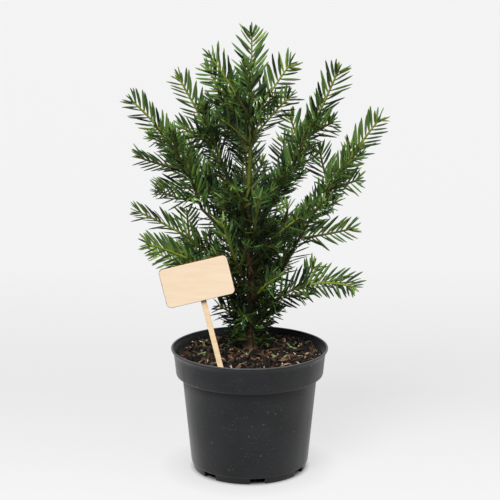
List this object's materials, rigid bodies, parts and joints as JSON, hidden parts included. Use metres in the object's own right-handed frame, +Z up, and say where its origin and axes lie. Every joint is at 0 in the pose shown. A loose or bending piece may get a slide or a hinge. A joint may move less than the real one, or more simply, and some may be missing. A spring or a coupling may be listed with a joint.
{
  "type": "potted yew",
  "caption": "Young upright yew with flat sprays of needles on open boughs, in a round collared nursery pot of bark compost, with a small wooden plant label on a stick.",
  "frame": {"origin": "middle of the pot's flat underside", "axes": "+Z up along the trunk; -Y towards the side of the pot that the plant label stands on; the label is on the -X side of the trunk"},
  "size_m": [0.2823, 0.2117, 0.4837],
  "materials": {
    "pot": "satin black moulded plastic",
    "soil": "loose moist bark compost, matt",
    "label_board": "sanded plywood with a burnt edge",
    "label_stick": "sanded softwood",
    "trunk_bark": "thin rough bark",
    "bough_bark": "smooth young bark",
    "foliage": "waxy needles, satin"
  },
  "bodies": {
    "root": {"pot": "pot", "soil": "soil", "label_stick": "label_stick", "label_board": "label_board", "trunk": "trunk_bark", "bough_upper_left": "bough_bark", "bough_front_left": "bough_bark", "bough_mid_left": "bough_bark", "bough_low_left": "bough_bark", "bough_bottom_left": "bough_bark", "bough_front_low_left": "bough_bark", "bough_upper_right": "bough_bark", "bough_mid_right": "bough_bark", "bough_front_right": "bough_bark", "bough_low_right": "bough_bark", "bough_front": "bough_bark", "bough_front_low_right": "bough_bark", "bough_back_high": "bough_bark", "bough_back_right": "bough_bark", "bough_back_mid": "bough_bark", "bough_back_left": "bough_bark", "bough_back_low_right": "bough_bark", "bough_back_low_left": "bough_bark", "bough_back_low": "bough_bark", "foliage_leader": "foliage", "foliage_crown_left": "foliage", "foliage_crown_back_left": "foliage", "foliage_crown_right": "foliage", "foliage_crown_front_right": "foliage", "foliage_crown_front_left": "foliage", "foliage_crown_back": "foliage", "foliage_upper_left": "foliage", "foliage_front_left": "foliage", "foliage_mid_left": "foliage", "foliage_low_left": "foliage", "foliage_bottom_left": "foliage", "foliage_front_low_left": "foliage", "foliage_upper_right": "foliage", "foliage_mid_right": "foliage", "foliage_front_right": "foliage", "foliage_low_right": "foliage", "foliage_front": "foliage", "foliage_front_low_right": "foliage", "foliage_foot_left": "foliage", "foliage_foot_front": "foliage", "foliage_base_left": "foliage", "foliage_base_right": "foliage", "foliage_back_high": "foliage", "foliage_back_right": "foliage", "foliage_back_mid": "foliage", "foliage_back_left": "foliage", "foliage_back_low_right": "foliage", "foliage_back_low_left": "foliage", "foliage_back_low": "foliage", "foliage_foot_back": "foliage"}
  },
  "joints": []
}
